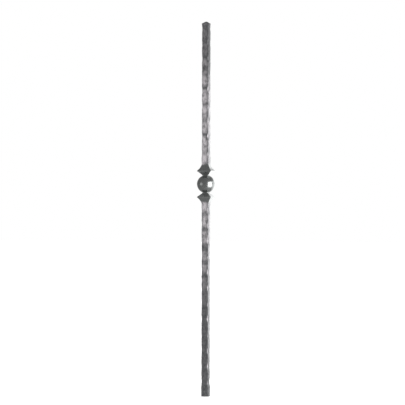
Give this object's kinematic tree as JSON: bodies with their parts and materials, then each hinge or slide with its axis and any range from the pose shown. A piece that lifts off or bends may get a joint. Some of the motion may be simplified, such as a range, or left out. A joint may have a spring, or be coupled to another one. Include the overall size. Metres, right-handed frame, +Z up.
{
  "type": "iron stair baluster",
  "caption": "Upright square iron stair baluster with hammered, scalloped corners and a forged knuckle: a ball between flared square collars, above mid-height.",
  "frame": {"origin": "centre of the sawn foot, where the bar stands in or on the tread", "axes": "+Z up along the bar towards the handrail; X and Y square to the bar's four faces"},
  "size_m": [0.0434, 0.0432, 0.9],
  "materials": {
    "forged_iron": "hammered forged iron, dark grey oxide with a low sheen, brighter where the bar is worn"
  },
  "bodies": {
    "root": {"baluster": "forged_iron"}
  },
  "joints": []
}
